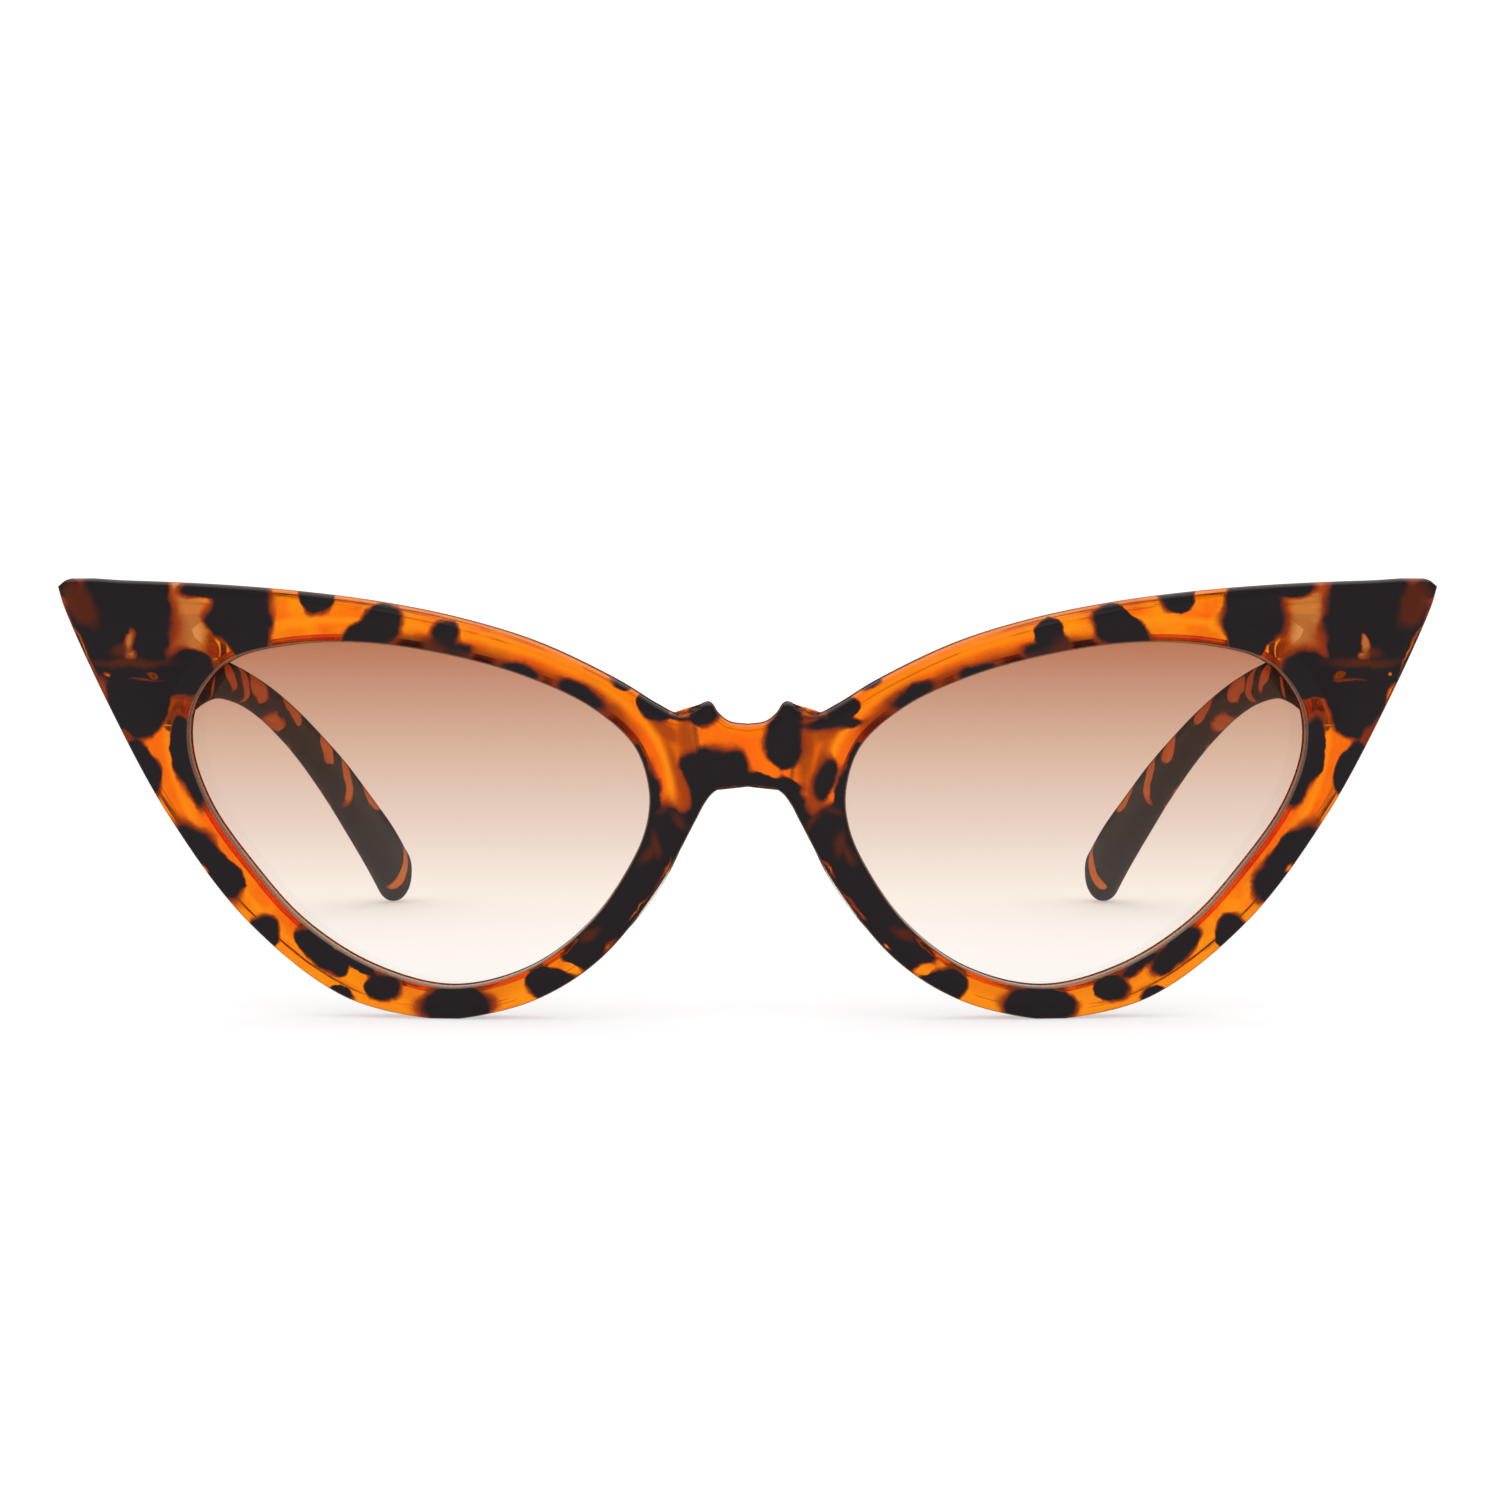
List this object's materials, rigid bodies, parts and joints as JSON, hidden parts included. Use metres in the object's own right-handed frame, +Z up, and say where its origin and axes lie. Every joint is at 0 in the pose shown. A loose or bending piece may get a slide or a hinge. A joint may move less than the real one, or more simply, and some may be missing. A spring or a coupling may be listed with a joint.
{
  "type": "cat eye sunglasses",
  "caption": "Cat eye sunglasses: a swept tortoise-pattern front with tinted lenses, clear nose pads and temples that fold on screwed hinges.",
  "frame": {"origin": "centre of the footprint, on the surface that the rims and the temple tips rest on", "axes": "+X to the wearer's left, +Y from the front back along the temples, +Z up"},
  "size_m": [0.1476, 0.144, 0.0464],
  "materials": {
    "tortoise_plastic": "polished translucent amber plastic with dark brown tortoiseshell spots",
    "tinted_lens": "clear polycarbonate with a brown tint that fades towards the bottom",
    "clear_plastic": "clear polished plastic",
    "hinge_steel": "satin nickel-plated steel"
  },
  "bodies": {
    "front": {"front_frame": "tortoise_plastic", "lens_left": "tinted_lens", "lens_right": "tinted_lens", "nose_pad_left": "clear_plastic", "nose_pad_right": "clear_plastic", "hinge_front_leaf_left": "hinge_steel", "hinge_front_leaf_right": "hinge_steel", "hinge_screw_left": "hinge_steel", "hinge_screw_right": "hinge_steel", "front_rivet_left_1": "hinge_steel", "front_rivet_left_2": "hinge_steel", "front_rivet_right_1": "hinge_steel", "front_rivet_right_2": "hinge_steel"},
    "left_temple": {"temple_left": "tortoise_plastic", "hinge_temple_leaf_left": "hinge_steel", "temple_rivet_left_1": "hinge_steel", "temple_rivet_left_2": "hinge_steel"},
    "right_temple": {"temple_right": "tortoise_plastic", "hinge_temple_leaf_right": "hinge_steel", "temple_rivet_right_1": "hinge_steel", "temple_rivet_right_2": "hinge_steel"}
  },
  "joints": [
    {"name": "fold_left", "type": "hinge", "parent": "front", "child": "left_temple", "pos_m": [0.0617, -0.05805, 0.0404], "axis": [0, 0, 1], "range_deg": [0, 86]},
    {"name": "fold_right", "type": "hinge", "parent": "front", "child": "right_temple", "pos_m": [-0.0617, -0.05805, 0.0404], "axis": [0, 0, -1], "range_deg": [0, 79]}
  ]
}
